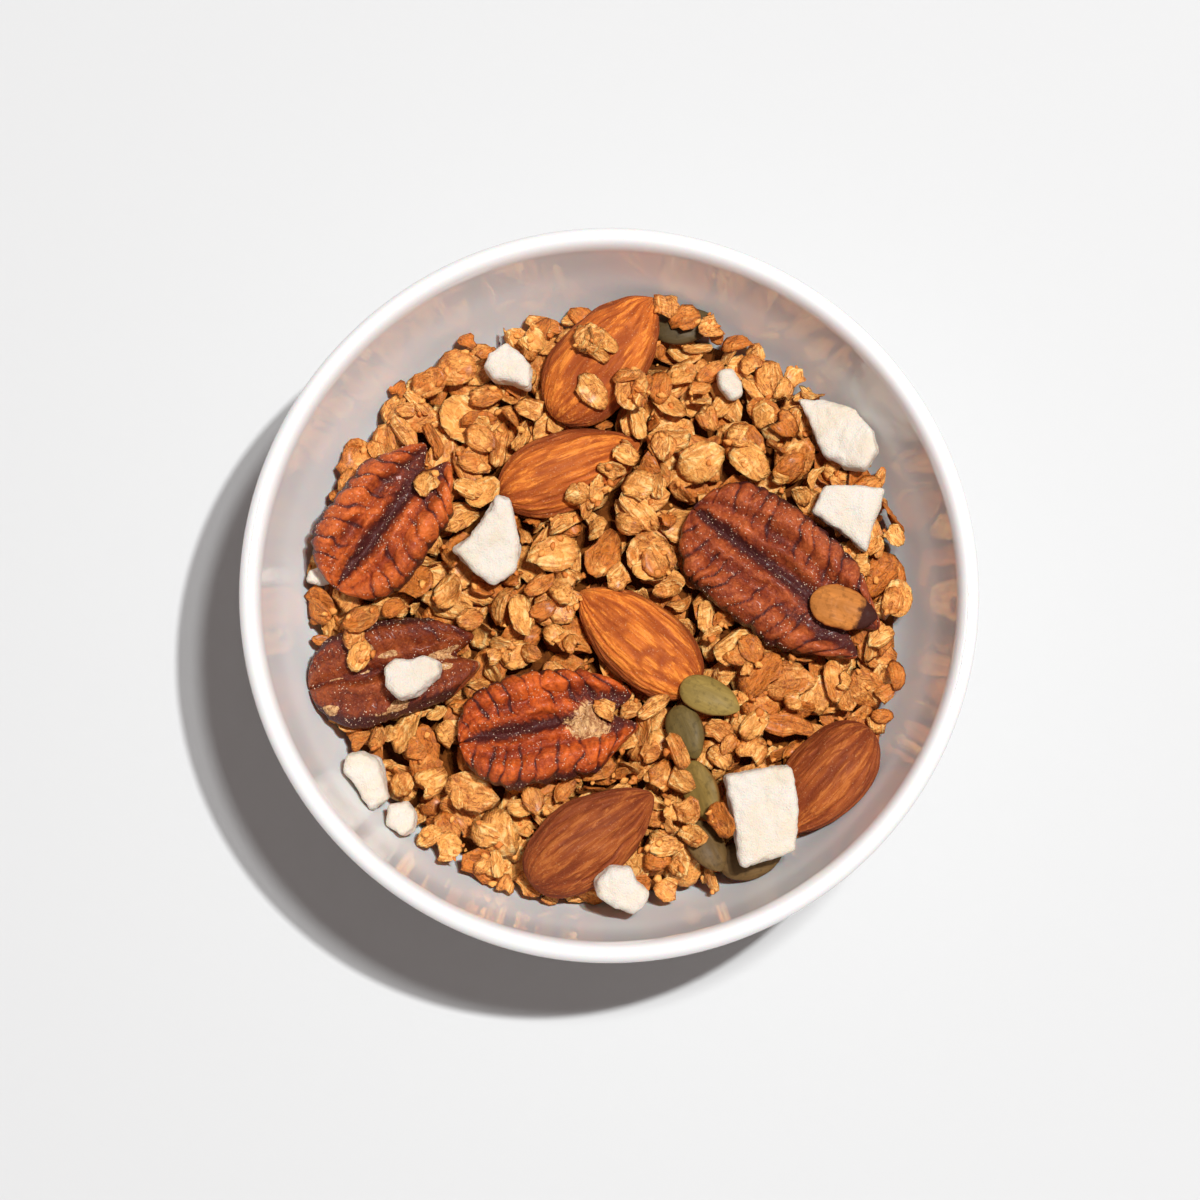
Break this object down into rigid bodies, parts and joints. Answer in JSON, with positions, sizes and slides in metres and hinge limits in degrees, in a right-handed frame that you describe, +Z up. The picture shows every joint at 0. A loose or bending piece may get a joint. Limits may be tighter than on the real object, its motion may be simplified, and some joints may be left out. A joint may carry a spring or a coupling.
{
  "type": "bowl of granola",
  "caption": "Round white footed bowl filled with toasted oat granola, topped with almonds, pecan halves, freeze-dried fruit pieces and pumpkin seeds.",
  "frame": {"origin": "middle of the underside of the bowl's foot ring, on the surface that the bowl stands on", "axes": "+Z up along the bowl's axis, +Y to the far side of the bowl, +X to its right"},
  "size_m": [0.12, 0.12, 0.056],
  "materials": {
    "porcelain": "glossy white glaze",
    "oats": "toasted, dry, lightly glazed with syrup",
    "almond": "dry wrinkled skin",
    "pecan": "satin skin with sugar grains",
    "dried_fruit": "chalky, freeze-dried",
    "pumpkin_seed": "satin skin"
  },
  "bodies": {
    "root": {"bowl": "porcelain", "granola_heap": "oats", "almond_1": "almond", "almond_2": "almond", "almond_3": "almond", "almond_4": "almond", "almond_5": "almond", "pecan_1": "pecan", "pecan_2": "pecan", "pecan_3": "pecan", "pecan_4": "pecan", "fruit_1": "dried_fruit", "fruit_2": "dried_fruit", "fruit_3": "dried_fruit", "fruit_4": "dried_fruit", "fruit_5": "dried_fruit", "fruit_6": "dried_fruit", "fruit_7": "dried_fruit", "fruit_8": "dried_fruit", "fruit_9": "dried_fruit", "fruit_10": "dried_fruit", "fruit_11": "dried_fruit", "pumpkin_seed_1": "pumpkin_seed", "pumpkin_seed_2": "pumpkin_seed", "pumpkin_seed_3": "pumpkin_seed", "pumpkin_seed_4": "pumpkin_seed", "pumpkin_seed_5": "pumpkin_seed", "pumpkin_seed_6": "pumpkin_seed", "pumpkin_seed_7": "pumpkin_seed"}
  },
  "joints": []
}
